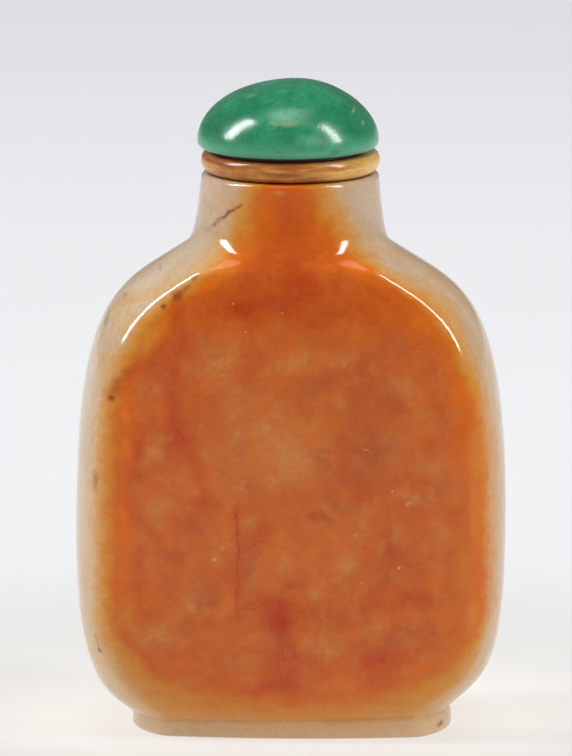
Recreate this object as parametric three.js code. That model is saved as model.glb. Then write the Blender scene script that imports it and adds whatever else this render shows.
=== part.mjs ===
// A flattened stone snuff bottle with its stopper: a hollow bottle cut from one pebble, a thin
// round collar that lies on the lip, and a domed cap that lies on the collar.
// Millimetres, +Z up. The origin is the centre of the plane that the foot stands on, and the
// broad front face looks along -Y.
import * as THREE from "three";

// Driving dimensions. Half widths run along X, half depths along Y.
const foot = {
  halfWidth: 16.6, // outside of the foot rim
  halfDepth: 8.1,
  height: 1.9,
  rim: 2.0, // width of the flat rim that touches the table
  recess: 1.0, // how far the underside is cut back inside the rim
  edge: 0.4, // rounding where the rim meets the table
};
const body = { halfWidth: 22.23, halfDepth: 11.65, widestAt: 21 };
const neck = {
  baseHalfWidth: 10.65, // where the neck rises out of the shoulders
  baseHalfDepth: 9.9,
  baseAt: 50.3,
  roundBy: 53.6, // by this height the shoulders' arrises have died out
  radius: 9.12,
  lipAt: 57.65,
  lipEdge: 0.8,
};
const cavity = {
  mouthRadius: 4.25,
  mouthEdge: 0.35,
  boreEndsAt: 50,
  halfWidth: 17,
  halfDepth: 7.9,
  widestAt: 30,
  floorAt: 6.2,
};
const collar = {
  radius: 9.16,
  thickness: 2.15,
  restRadius: 6.8, // flat underside that lies on the lip
  widestAt: 1.05, // height of the widest circle above the underside
  topInset: 0.6, // how far in, and how far down, the upper edge is rounded
  topDrop: 0.75,
};
const cap = {
  radius: 9.33,
  height: 7.45,
  seatRadius: 7.9, // the low seat under the cap that lies on the collar
  seatHeight: 0.36,
  rimRadius: 8.8,
  rimEdge: 0.14,
  widestAt: 1.2, // height of the widest circle above the seat
  fullness: 1.92, // 2 would be an ellipse; less is a little more pointed
  lean: 0.85, // sideways shift of the crown, hand cut off centre
  leanPower: 7, // how near the top that shift sets in
  offset: -0.26, // the cap lies this far off the collar's centre
};

// The radii of a section's three arcs: the crowned broad face, the narrow side and the soft
// arris between them.
const bodySection = { face: 130, side: 21, arris: 1.5 };
const shoulderSection = { face: 130, side: 15, arris: 1.1 };
const footSection = { face: 85, side: 9, arris: 3 };
const cavitySection = { face: 90, side: 14, arris: 4.5 };

// Facets in a quarter of a section, on the face, the arris and the side.
const facets = { face: 7, arris: 4, side: 5 };
const quarterFacets = facets.face + facets.arris + facets.side;
const facetsAround = 4 * quarterFacets;

const { clamp, lerp, smoothstep } = THREE.MathUtils;

const blend = (from, to, share) => ({
  face: lerp(from.face, to.face, share),
  side: lerp(from.side, to.side, share),
  arris: lerp(from.arris, to.arris, share),
});

// Half of an outline, as [half size, height] points of a cubic curve.
const outline = (...points) =>
  new THREE.CubicBezierCurve(...points.map(([half, z]) => new THREE.Vector2(half, z)));

// How wide an outline is at a height, read off the outline's own fine polyline.
function halfAt(curves, z) {
  const points = curves.flatMap((curve) => curve.getPoints(200));
  const rising = points[0].y < points.at(-1).y;
  const next = points.findIndex((p) => (rising ? p.y >= z : p.y <= z));
  if (next < 1) return points.at(next).x;
  const [p, q] = [points[next - 1], points[next]];
  return lerp(p.x, q.x, q.y === p.y ? 1 : (z - p.y) / (q.y - p.y));
}

// One quarter of a section, from the middle of the face (0, halfDepth) round to the middle of
// the side (halfWidth, 0). Its three arcs meet tangentially: the arris circle lies inside the
// face's circle and inside the side's. "round" turns it towards a plain ellipse, as at the neck.
function quarterSection({ halfWidth, halfDepth, section, round = 0 }) {
  const faceCentre = new THREE.Vector2(0, halfDepth - section.face);
  const sideCentre = new THREE.Vector2(halfWidth - section.side, 0);
  const toFace = section.face - section.arris;
  const toSide = section.side - section.arris;
  const apart = faceCentre.distanceTo(sideCentre);
  const along = (toFace ** 2 - toSide ** 2 + apart ** 2) / (2 * apart);
  const across = Math.sqrt(toFace ** 2 - along ** 2);
  const way = sideCentre.clone().sub(faceCentre).divideScalar(apart);
  const arrisCentre = new THREE.Vector2(way.y, -way.x)
    .multiplyScalar(across)
    .addScaledVector(way, along)
    .add(faceCentre);
  const faceEnds = Math.atan2(arrisCentre.x, arrisCentre.y - faceCentre.y);
  const sideStarts = Math.atan2(arrisCentre.x - sideCentre.x, arrisCentre.y);

  const arcs = [
    [faceCentre, section.face, 0, faceEnds, facets.face],
    [arrisCentre, section.arris, faceEnds, sideStarts, facets.arris],
    [sideCentre, section.side, sideStarts, Math.PI / 2, facets.side],
  ];
  const points = [];
  for (const [centre, radius, from, to, steps] of arcs) {
    for (let i = points.length ? 1 : 0; i <= steps; i++) {
      const turn = lerp(from, to, i / steps);
      points.push(new THREE.Vector2(Math.sin(turn), Math.cos(turn)).multiplyScalar(radius).add(centre));
    }
  }
  return points.map((point, i) => {
    const turn = (i / quarterFacets) * (Math.PI / 2);
    const oval = new THREE.Vector2(halfWidth * Math.sin(turn), halfDepth * Math.cos(turn));
    return point.lerp(oval, round);
  });
}

// A whole section as [x, y] pairs, counter-clockwise seen from above, from the middle of the
// front face.
function wholeSection(ring) {
  const quarter = quarterSection(ring).map((p) => [p.x, p.y]);
  const inner = quarter.slice(1, -1);
  const [front, side] = [quarter[0], quarter.at(-1)];
  return [
    [0, -front[1]],
    ...inner.map(([x, y]) => [x, -y]),
    [side[0], 0],
    ...inner.toReversed().map(([x, y]) => [x, y]),
    [0, front[1]],
    ...inner.map(([x, y]) => [-x, y]),
    [-side[0], 0],
    ...inner.toReversed().map(([x, y]) => [-x, -y]),
  ];
}

// A closed skin over a run of rings, closed at both ends by a point on the axis.
function skin(startZ, rings, endZ) {
  const positions = [0, 0, startZ];
  for (const ring of rings) {
    for (const [x, y] of wholeSection(ring)) positions.push(x, y, ring.z);
  }
  positions.push(0, 0, endZ);
  const end = 1 + rings.length * facetsAround;
  const at = (row, column) => 1 + row * facetsAround + (column % facetsAround);
  const index = [];
  for (let column = 0; column < facetsAround; column++) {
    index.push(0, at(0, column + 1), at(0, column));
    for (let row = 0; row + 1 < rings.length; row++) {
      const [a, b] = [at(row, column), at(row, column + 1)];
      const [c, d] = [at(row + 1, column + 1), at(row + 1, column)];
      index.push(a, b, c, a, c, d);
    }
    index.push(end, at(rings.length - 1, column), at(rings.length - 1, column + 1));
  }
  const geometry = new THREE.BufferGeometry();
  geometry.setAttribute("position", new THREE.Float32BufferAttribute(positions, 3));
  geometry.setIndex(index);
  geometry.computeVertexNormals();
  return geometry;
}

// The foot: a recessed underside, a flat rim and a rounded lower edge. Its upright wall runs up to
// the body's first ring.
function footRings() {
  const ring = (inset, z) => ({
    z,
    halfWidth: foot.halfWidth - inset,
    halfDepth: foot.halfDepth - inset,
    section: footSection,
  });
  return [
    ring(foot.edge + foot.rim + foot.recess / 4, foot.recess),
    ring(foot.edge + foot.rim, 0),
    ring(foot.edge, 0),
    ring(foot.edge / 4, foot.edge / 3),
    ring(0, foot.edge),
  ];
}

// The outside of the body, from the foot to the root of the neck. Its arrises stay crisp up to
// there, and die out in the neck.
function bodyRings() {
  const { halfWidth, halfDepth, widestAt } = body;
  const front = [
    outline([foot.halfWidth, foot.height], [19.9, 4.6], [halfWidth, 5.9], [halfWidth, widestAt]),
    outline([halfWidth, widestAt], [halfWidth, 46.8], [17.16, 45.5], [neck.baseHalfWidth, neck.baseAt]),
  ];
  const side = [
    outline([foot.halfDepth, foot.height], [9.7, 2.9], [halfDepth, 8], [halfDepth, widestAt]),
    outline([halfDepth, widestAt], [halfDepth, 36], [11, 45], [neck.baseHalfDepth, neck.baseAt]),
  ];
  const lower = [0, 0.07, 0.15, 0.25, 0.37, 0.52, 0.7, 0.88];
  const upper = [0, 0.12, 0.24, 0.35, 0.45, 0.54, 0.62, 0.7, 0.78, 0.86, 0.93, 1];
  const points = [
    ...lower.map((t) => front[0].getPoint(t)),
    ...upper.map((t) => front[1].getPoint(t)),
  ];
  return points.map((p) => {
    const z = p.y;
    const low = blend(footSection, bodySection, smoothstep(z, foot.height, 12));
    return {
      z,
      halfWidth: p.x,
      halfDepth: halfAt(side, z),
      section: blend(low, shoulderSection, smoothstep(z, 38, 48)),
    };
  });
}

// The neck flares a little into the shoulders and ends in a flat lip with a rounded edge.
function neckRings() {
  const top = [neck.radius, neck.lipAt - neck.lipEdge];
  const front = outline([neck.baseHalfWidth, neck.baseAt], [10.05, 50.8], [9.63, 51.2], top);
  const side = outline([neck.baseHalfDepth, neck.baseAt], [9.6, 51.4], [9.25, 52.6], top);
  const wall = [0.2, 0.45, 0.65, 0.8, 1].map((t) => {
    const { x: halfWidth, y: z } = front.getPoint(t);
    const round = smoothstep(z, neck.baseAt, neck.roundBy);
    return { z, halfWidth, halfDepth: halfAt([side], z), section: shoulderSection, round };
  });
  const edge = [30, 60, 90].map((degrees) => {
    const turn = THREE.MathUtils.degToRad(degrees);
    return turnedRing(
      neck.radius - neck.lipEdge * (1 - Math.cos(turn)),
      neck.lipAt - neck.lipEdge * (1 - Math.sin(turn)),
    );
  });
  return [...wall, ...edge];
}

const turnedRing = (radius, z) => ({
  z,
  halfWidth: radius,
  halfDepth: radius,
  section: shoulderSection,
  round: 1,
});

// The hollow, from the mouth down: a drilled bore, sloping inner shoulders and a rounded floor.
function cavityRings() {
  const { mouthRadius, mouthEdge, boreEndsAt, halfWidth, halfDepth, widestAt, floorAt } = cavity;
  const front = [
    outline([mouthRadius, boreEndsAt], [6, 46], [16.8, 44.5], [halfWidth, widestAt]),
    outline([halfWidth, widestAt], [halfWidth, 14], [16.4, floorAt], [7, floorAt]),
  ];
  const side = [
    outline([mouthRadius, boreEndsAt], [5, 45], [7.7, 42], [halfDepth, widestAt]),
    outline([halfDepth, widestAt], [halfDepth, 14], [7.5, floorAt], [3, floorAt]),
  ];
  const upper = [0.12, 0.26, 0.4, 0.54, 0.7, 0.86];
  const lower = [0, 0.25, 0.45, 0.6, 0.73, 0.86];
  const rings = [
    ...upper.map((t) => [front[0].getPoint(t), side[0]]),
    ...lower.map((t) => [front[1].getPoint(t), side[1]]),
  ].map(([p, profile]) => ({
    z: p.y,
    halfWidth: p.x,
    halfDepth: halfAt([profile], p.y),
    section: cavitySection,
    round: clamp(1 - smoothstep(boreEndsAt - p.y, 0, 9) + smoothstep(12 - p.y, 0, 5), 0, 1),
  }));
  return [
    turnedRing(mouthRadius + mouthEdge, neck.lipAt),
    turnedRing(mouthRadius, neck.lipAt - mouthEdge),
    turnedRing(mouthRadius, boreEndsAt),
    ...rings,
  ];
}

function bottleGeometry() {
  const rings = [...footRings(), ...bodyRings(), ...neckRings(), ...cavityRings()];
  return skin(foot.recess, rings, cavity.floorAt);
}

// A lathe profile is drawn in X and Y and turned about Y, so it is stood up along +Z.
function turned(points) {
  const profile = points.map(([radius, z]) => new THREE.Vector2(radius, z));
  return new THREE.LatheGeometry(profile, facetsAround).rotateX(Math.PI / 2);
}

const pairs = (curve, steps) => curve.getPoints(steps).map((p) => [p.x, p.y]);

// A thin disc, its underside at height 0, flat where it lies on the lip and swept up from there.
function collarGeometry() {
  const { radius, thickness, restRadius, widestAt, topInset, topDrop } = collar;
  const lower = outline([restRadius, 0], [8.3, 0.03], [radius, 0.2], [radius, widestAt]);
  const upper = outline(
    [radius, widestAt],
    [radius, thickness - topDrop / 2],
    [radius - topInset / 4, thickness],
    [radius - topInset, thickness],
  );
  return turned([[0, 0], ...pairs(lower, 5), ...pairs(upper, 4).slice(1), [0, thickness]]);
}

// A low dome, the seat under it at height 0. Its crown leans off centre.
function capGeometry() {
  const { radius, height, seatRadius, seatHeight, rimRadius, rimEdge, widestAt, fullness } = cap;
  const rise = height - widestAt;
  const crown = [0, 14, 27, 39, 50, 60, 69, 78, 90].map((degrees) => {
    const turn = THREE.MathUtils.degToRad(degrees);
    return [
      radius * Math.cos(turn) ** (2 / fullness),
      widestAt + rise * Math.sin(turn) ** (2 / fullness),
    ];
  });
  crown[crown.length - 1][0] = 0;
  const geometry = turned([
    [0, 0],
    [seatRadius, 0],
    [seatRadius, seatHeight],
    [rimRadius - rimEdge, seatHeight],
    [rimRadius, seatHeight + rimEdge],
    [lerp(rimRadius, radius, 0.85), lerp(seatHeight, widestAt, 0.5)],
    ...crown,
  ]);
  const position = geometry.getAttribute("position");
  for (let i = 0; i < position.count; i++) {
    const share = clamp((position.getZ(i) - widestAt) / rise, 0, 1);
    position.setX(i, position.getX(i) + cap.lean * share ** cap.leanPower);
  }
  geometry.computeVertexNormals();
  return geometry;
}

function piece(name, geometry, material, x, z) {
  const mesh = new THREE.Mesh(geometry, new THREE.MeshStandardMaterial(material));
  mesh.name = name;
  mesh.position.set(x, 0, z);
  return mesh;
}

const snuffBottle = new THREE.Group();
snuffBottle.add(
  piece("bottle", bottleGeometry(), { color: "#b8622f", roughness: 0.2, metalness: 0 }, 0, 0),
  piece("collar", collarGeometry(), { color: "#b0733a", roughness: 0.35, metalness: 0 }, 0, neck.lipAt),
  piece(
    "cap",
    capGeometry(),
    { color: "#348a68", roughness: 0.15, metalness: 0 },
    cap.offset,
    neck.lipAt + collar.thickness,
  ),
);

export default snuffBottle;
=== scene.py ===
# A flattened stone snuff bottle with a green stone stopper, on a pale studio floor.
import math

import bpy
import numpy as np
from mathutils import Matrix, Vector


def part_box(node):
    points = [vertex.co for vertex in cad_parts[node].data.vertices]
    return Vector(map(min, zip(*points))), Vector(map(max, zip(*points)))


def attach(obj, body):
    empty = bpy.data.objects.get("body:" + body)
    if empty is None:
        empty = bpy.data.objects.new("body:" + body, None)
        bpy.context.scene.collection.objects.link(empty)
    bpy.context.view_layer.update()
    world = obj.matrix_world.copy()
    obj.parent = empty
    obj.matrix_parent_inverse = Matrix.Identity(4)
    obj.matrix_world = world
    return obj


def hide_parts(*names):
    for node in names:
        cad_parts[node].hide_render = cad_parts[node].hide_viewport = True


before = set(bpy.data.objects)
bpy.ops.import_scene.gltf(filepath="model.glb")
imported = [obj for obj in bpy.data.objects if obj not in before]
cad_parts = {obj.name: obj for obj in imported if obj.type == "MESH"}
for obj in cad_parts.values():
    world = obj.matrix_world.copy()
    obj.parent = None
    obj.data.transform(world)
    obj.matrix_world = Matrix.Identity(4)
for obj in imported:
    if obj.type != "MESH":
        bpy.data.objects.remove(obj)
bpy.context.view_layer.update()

mm = 0.001
_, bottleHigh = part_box("bottle")
collarLow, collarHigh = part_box("collar")
capLow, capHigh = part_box("cap")


def newObject(name, data):
    made = bpy.data.objects.new(name, data)
    bpy.context.scene.collection.objects.link(made)
    return made


# One socket of a node tree, so that sums on it add Math nodes.
class Wire:
    def __init__(self, graph, socket):
        self.graph, self.socket = graph, socket

    def __add__(self, other):
        return self.graph.maths("ADD", self, other)

    def __radd__(self, other):
        return self.graph.maths("ADD", other, self)

    def __sub__(self, other):
        return self.graph.maths("SUBTRACT", self, other)

    def __rsub__(self, other):
        return self.graph.maths("SUBTRACT", other, self)

    def __mul__(self, other):
        return self.graph.maths("MULTIPLY", self, other)

    def __rmul__(self, other):
        return self.graph.maths("MULTIPLY", other, self)

    def __truediv__(self, other):
        return self.graph.maths("DIVIDE", self, other)

    def __rtruediv__(self, other):
        return self.graph.maths("DIVIDE", other, self)

    def __lt__(self, other):
        return self.graph.maths("LESS_THAN", self, other)

    def __gt__(self, other):
        return self.graph.maths("GREATER_THAN", self, other)


class Graph:
    def __init__(self, tree):
        self.tree = tree

    def node(self, kind, settings=None, values=None, out=0):
        made = self.tree.nodes.new(kind)
        for name, value in (settings or {}).items():
            if name == "stops":
                fillRamp(made.color_ramp, value)
            else:
                setattr(made, name, value)
        for name, value in (values or {}).items():
            self.feed(made.inputs[name], value)
        return Wire(self, made.outputs[out] if made.outputs else None)

    def feed(self, socket, value):
        if isinstance(value, Wire):
            self.tree.links.new(value.socket, socket)
        else:
            socket.default_value = value

    def maths(self, operation, *values):
        return self.node("ShaderNodeMath", {"operation": operation}, dict(enumerate(values)))

    def vector(self, operation, *values, out=0):
        return self.node("ShaderNodeVectorMath", {"operation": operation}, dict(enumerate(values)), out)

    def join(self, x, y, z):
        return self.node("ShaderNodeCombineXYZ", values={0: x, 1: y, 2: z})

    def scaled(self, wire, factor):
        return self.node("ShaderNodeVectorMath", {"operation": "SCALE"}, {0: wire, "Scale": factor})

    def ease(self, value, low, high, start=0.0, end=1.0):
        return self.node("ShaderNodeMapRange", {"interpolation_type": "SMOOTHSTEP"}, {
            "Value": value, "From Min": low, "From Max": high, "To Min": start, "To Max": end,
        })

    # The colour sockets of a Mix node are its seventh and eighth, and its third result.
    def mix(self, share, a, b, blend="MIX"):
        settings = {"data_type": "RGBA", "blend_type": blend}
        return self.node("ShaderNodeMix", settings, {0: share, 6: a, 7: b}, 2)

    def noise(self, place, size, detail, roughness, seed, out=0):
        return self.node("ShaderNodeTexNoise", {"noise_dimensions": "4D"}, {
            "Vector": place, "W": seed, "Scale": 1 / size, "Detail": detail, "Roughness": roughness,
        }, out)

    # The place moved about by noise, so that a drawn patch gets a natural edge.
    def warp(self, place, size, amount, seed):
        cloud = self.vector("SUBTRACT", self.noise(place, size, 2.0, 0.55, seed, out=1), (0.5, 0.5, 0.5))
        return self.vector("ADD", place, self.scaled(cloud, amount))

    # 1 in the middle of a turned ellipse, fading to 0 at its edge.
    def patch(self, place, x, z, halfWidth, halfHeight, turn=0):
        past = self.vector("SUBTRACT", place, (x, z, 0))
        cosine, sine = math.cos(math.radians(turn)), math.sin(math.radians(turn))
        along = self.vector("DOT_PRODUCT", past, (cosine / halfWidth, sine / halfWidth, 0), out=1)
        up = self.vector("DOT_PRODUCT", past, (-sine / halfHeight, cosine / halfHeight, 0), out=1)
        return self.ease(self.maths("SQRT", along * along + up * up), 1, 0)

    # 1 within a share of the half width of a line through the points, fading to 0 by the whole of it.
    def stroke(self, place, points, halfWidth, core):
        nearest = None
        for start, end in zip(points, points[1:]):
            span = Vector((end[0] - start[0], end[1] - start[1], 0))
            past = self.vector("SUBTRACT", place, (*start, 0))
            share = self.vector("DOT_PRODUCT", past, span / span.length_squared, out=1)
            foot = self.scaled(span, self.node("ShaderNodeClamp", values={0: share}))
            gap = self.vector("DISTANCE", past, foot, out=1)
            nearest = self.maths("MINIMUM", nearest, gap) if nearest else gap
        return self.ease(nearest, halfWidth, halfWidth * core)

    def split(self, wire):
        made = self.node("ShaderNodeSeparateXYZ", values={0: wire}).socket.node
        return [Wire(self, socket) for socket in made.outputs]


def fillRamp(ramp, stops):
    while len(ramp.elements) > 1:
        ramp.elements.remove(ramp.elements[-1])
    for i, (place, colour) in enumerate(stops):
        stop = ramp.elements[0] if i == 0 else ramp.elements.new(place)
        stop.position, stop.color = place, colour


# The loft is one Geometry Nodes tree that turns rows of section sizes into a closed skin.
quarterFacets = {"face": 23, "arris": 13, "side": 16}
facetsInQuarter = sum(quarterFacets.values())
weldDistance = 1e-6  # metres


def smooth(x, low, high):
    share = min(max((x - low) / (high - low), 0), 1)
    return share * share * (3 - 2 * share)


def mixed(a, b, share):
    return a + (b - a) * share


# One row of the loft, in millimetres: a section of a face arc, a tight arris arc and a side arc,
# each tangent to the next. Where it is wholly round the arcs don't matter. The drift is how the
# hand that cut it strayed: a sideways shift, and a tilt and a skew for each millimetre of width.
def row(z, halfWidth, halfDepth, arcs, roundness=0.0, drift=(0, 0, 0), ripple=1.0):
    face, side, arris = arcs
    apart = math.hypot(halfWidth - side, halfDepth - face)
    toFace, toSide = face - arris, side - arris
    along = (toFace ** 2 - toSide ** 2 + apart ** 2) / (2 * apart)
    across = math.sqrt(max(toFace ** 2 - along ** 2, 0))
    wayX, wayY = (halfWidth - side) / apart, (face - halfDepth) / apart
    cornerX = along * wayX + across * wayY
    cornerY = halfDepth - face + along * wayY - across * wayX
    faceEnds = math.atan2(cornerX, cornerY - halfDepth + face)
    sideStarts = math.atan2(cornerX - halfWidth + side, cornerY)
    return {
        "size": (halfWidth, halfDepth, z),
        "arcs": (face, side, arris),
        "corner": (cornerX, cornerY, ripple),
        "turns": (faceEnds, sideStarts, roundness),
        "drift": drift,
    }


def makeLoftTree():
    tree = bpy.data.node_groups.new("loftSections", "GeometryNodeTree")
    tree.is_modifier = True
    sockets = tree.interface
    sockets.new_socket("Geometry", in_out="OUTPUT", socket_type="NodeSocketGeometry")
    sockets.new_socket("Geometry", in_out="INPUT", socket_type="NodeSocketGeometry")
    for kind, names in (
        ("Int", ("Facets In Quarter", "Rows")),
        ("Float", ("Face Share", "Arris Share", "Unit", "Ripple Depth", "Ripple Length", "Seed")),
        ("Material", ("Material",)),
    ):
        for name in names:
            sockets.new_socket(name, in_out="INPUT", socket_type="NodeSocket" + kind)
    g = Graph(tree)
    given = tree.nodes.new("NodeGroupInput")
    wanted = {socket.name: Wire(g, socket) for socket in given.outputs if socket.name}
    columns = wanted["Facets In Quarter"] * 4

    grid = g.node("GeometryNodeMeshGrid", values={
        "Size X": 1.0, "Size Y": 1.0, "Vertices X": columns + 1, "Vertices Y": wanted["Rows"],
    })
    across, up, _ = g.split(g.node("GeometryNodeInputPosition"))
    rowIndex = g.maths("ROUND", (up + 0.5) * (wanted["Rows"] - 1))

    def rowValue(name):
        kind = {"data_type": "FLOAT_VECTOR"}
        field = g.node("GeometryNodeInputNamedAttribute", kind, {"Name": name})
        return g.split(g.node("GeometryNodeSampleIndex", kind, {
            "Geometry": wanted["Geometry"], "Value": field, "Index": rowIndex,
        }))

    halfWidth, halfDepth, height = rowValue("size")
    faceRadius, sideRadius, arrisRadius = rowValue("arcs")
    cornerX, cornerY, rippleShare = rowValue("corner")
    faceEnds, sideStarts, roundness = rowValue("turns")
    shift, tilt, skew = rowValue("drift")

    # How far round each vertex is: 0 at the middle of a face, 1 at the middle of a side.
    turned = g.maths("ROUND", (across + 0.5) * columns) / wanted["Facets In Quarter"]
    inQuarter = g.maths("PINGPONG", turned, 1.0)
    signX = 1 - 2 * (turned > 2.0)
    signY = 2 * g.maths("COMPARE", turned, 2.0, 1.0) - 1
    faceShare, arrisShare = wanted["Face Share"], wanted["Arris Share"]
    onFace = inQuarter < faceShare
    onSide = inQuarter > faceShare + arrisShare
    alongFace = inQuarter / faceShare * faceEnds
    alongArris = faceEnds + (inQuarter - faceShare) / arrisShare * (sideStarts - faceEnds)
    alongSide = sideStarts + ((inQuarter - faceShare - arrisShare) / (1 - faceShare - arrisShare)
                              * (math.pi / 2 - sideStarts))
    onArris = (1 - onFace) * (1 - onSide)
    turn = onFace * alongFace + onArris * alongArris + onSide * alongSide
    radius = onFace * faceRadius + onArris * arrisRadius + onSide * sideRadius
    centreX = onArris * cornerX + onSide * (halfWidth - sideRadius)
    centreY = onFace * (halfDepth - faceRadius) + onArris * cornerY
    ovalTurn = inQuarter * (math.pi / 2)
    sharpX = centreX + radius * g.maths("SINE", turn)
    sharpY = centreY + radius * g.maths("COSINE", turn)
    x = (sharpX + roundness * (halfWidth * g.maths("SINE", ovalTurn) - sharpX)) * signX
    y = (sharpY + roundness * (halfDepth * g.maths("COSINE", ovalTurn) - sharpY)) * signY
    unit = wanted["Unit"]
    marked = g.node("GeometryNodeStoreNamedAttribute", {"data_type": "FLOAT", "domain": "POINT"}, {
        "Geometry": grid, "Name": "rippleShare", "Value": rippleShare,
    })
    skin = g.node("GeometryNodeSetPosition", values={
        "Geometry": marked,
        "Position": g.join((x + shift) * unit, (y + skew * x) * unit, (height + tilt * x) * unit),
    })
    closed = g.node("GeometryNodeMergeByDistance", values={"Geometry": skin, "Distance": weldDistance})

    # Hand polish: long, very low ripples across the skin.
    place = g.node("GeometryNodeInputPosition")
    ripple = g.noise(place, wanted["Ripple Length"], 1.0, 0.4, wanted["Seed"])
    share = g.node("GeometryNodeInputNamedAttribute", {"data_type": "FLOAT"}, {"Name": "rippleShare"})
    push = g.scaled(g.node("GeometryNodeInputNormal"), (ripple - 0.5) * share * wanted["Ripple Depth"])
    rippled = g.node("GeometryNodeSetPosition", values={"Geometry": closed, "Offset": push})
    shaded = g.node("GeometryNodeSetShadeSmooth", values={"Geometry": rippled})
    real = g.node("GeometryNodeRealizeInstances", values={"Geometry": shaded})
    dressed = g.node("GeometryNodeSetMaterial", values={
        "Geometry": real, "Material": wanted["Material"],
    })
    result = tree.nodes.new("NodeGroupOutput")
    g.feed(result.inputs[0], dressed)
    return tree


loftTree = makeLoftTree()


# Lofts the rows into a plain mesh that sits at the origin.
def loft(name, rows, material, ripple, seed):
    chain = bpy.data.meshes.new(name + "Rows")
    chain.from_pydata([(0, 0, r["size"][2] * mm) for r in rows], [], [])
    for key in rows[0]:
        values = np.array([r[key] for r in rows], np.float32).ravel()
        chain.attributes.new(key, "FLOAT_VECTOR", "POINT").data.foreach_set("vector", values)
    holder = newObject(name + "Rows", chain)
    modifier = holder.modifiers.new("loft", "NODES")
    modifier.node_group = loftTree
    settings = {
        "Facets In Quarter": facetsInQuarter,
        "Face Share": quarterFacets["face"] / facetsInQuarter,
        "Arris Share": quarterFacets["arris"] / facetsInQuarter,
        "Rows": len(rows),
        "Unit": mm,
        "Ripple Depth": ripple[0] * mm,
        "Ripple Length": ripple[1] * mm,
        "Seed": float(seed),
        "Material": material,
    }
    for item in loftTree.interface.items_tree:
        if item.in_out == "INPUT" and item.name in settings:
            modifier[item.identifier] = settings[item.name]
    evaluated = holder.evaluated_get(bpy.context.evaluated_depsgraph_get())
    mesh = bpy.data.meshes.new_from_object(evaluated)
    bpy.data.objects.remove(holder)
    mesh.name = name
    piece = newObject(name, mesh)
    print(name, len(mesh.vertices), "vertices", len(mesh.polygons), "faces")
    return piece


roundArcs = (90, 14, 0.1)  # stand-ins where a row is wholly round


# Points of a cubic curve, (half size, height) each.
def curve(p0, p1, p2, p3, steps):
    t = np.linspace(0, 1, steps + 1)[:, None]
    p0, p1, p2, p3 = (np.array(p, float) for p in (p0, p1, p2, p3))
    return (1 - t) ** 3 * p0 + 3 * (1 - t) ** 2 * t * p1 + 3 * (1 - t) * t * t * p2 + t ** 3 * p3


# The same line with evenly spaced points.
def even(points, spacing):
    points = np.array(points, float)
    run = np.concatenate([[0], np.cumsum(np.hypot(*np.diff(points, axis=0).T))])
    stops = np.linspace(0, run[-1], max(int(round(run[-1] / spacing)), 1) + 1)
    return np.stack([np.interp(stops, run, points[:, i]) for i in (0, 1)], axis=1)


def readOff(points, z):
    order = np.argsort(points[:, 1])
    return float(np.interp(z, points[order, 1], points[order, 0]))


# A round row of a turned profile.
def ringRow(radius, z, shift, ripple):
    radius = max(radius, 1e-4)
    return row(z, radius, radius, roundArcs, 1.0, (shift, 0, 0), ripple)


# Points of a rounded edge, from one angle to another about a centre, in degrees.
def corner(centre, radius, start, end, steps):
    turns = np.radians(np.linspace(start, end, steps + 1))
    return [(centre[0] + radius * math.cos(t), centre[1] + radius * math.sin(t)) for t in turns]


def sRgb(r, g, b):
    linear = [c / 255 / 12.92 if c < 10 else ((c / 255 + 0.055) / 1.055) ** 2.4 for c in (r, g, b)]
    return (*linear, 1.0)


# A material with its tree, its shader node and the place on the piece in millimetres.
def newMaterial(name, settings):
    material = bpy.data.materials.new(name)
    material.use_nodes = True
    tree = material.node_tree
    tree.nodes.clear()
    g = Graph(tree)
    surface = g.node("ShaderNodeBsdfPrincipled", values=settings)
    g.node("ShaderNodeOutputMaterial", values={"Surface": surface})
    place = g.scaled(g.node("ShaderNodeTexCoord", out=3), 1 / mm)
    return material, g, surface.socket.node, place


# A surface's colour, and its roughness and low relief from the finish's numbers.
def dressSurface(g, shader, finish, colour, polish, height):
    lowest, spread = finish["roughness"]
    g.feed(shader.inputs["Base Color"], colour)
    g.feed(shader.inputs["Roughness"], lowest + spread * polish)
    g.feed(shader.inputs["Normal"], g.node("ShaderNodeBump", values={
        "Strength": finish["reliefStrength"], "Distance": finish["reliefDepth"] * mm, "Height": height,
    }))


# The colour with a fine grain of lighter and darker.
def grained(g, colour, grain, share):
    return g.mix(share, colour, g.join(grain, grain, grain), "OVERLAY")


# The place seen square on from the front.
def flattened(g, place):
    x, _, z = g.split(place)
    return g.join(x, z, 0)


# A colour ramp from (value, colour) stops, over whatever range they span.
def ramp(g, value, stops):
    start, end = stops[0][0], stops[-1][0]
    spread = [((at - start) / (end - start), colour) for at, colour in stops]
    return g.node("ShaderNodeValToRGB", {"stops": spread}, {0: (value - start) / (end - start)})


# A number that follows a value along straight lines between (value, number) points.
def follow(g, value, points):
    low, high = (pick(number for _, number in points) for pick in (min, max))
    greys = [(at, (*[(n - low) / (high - low)] * 3, 1)) for at, n in points]
    return g.node("ShaderNodeRGBToBW", values={0: ramp(g, value, greys)}) * (high - low) + low


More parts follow.
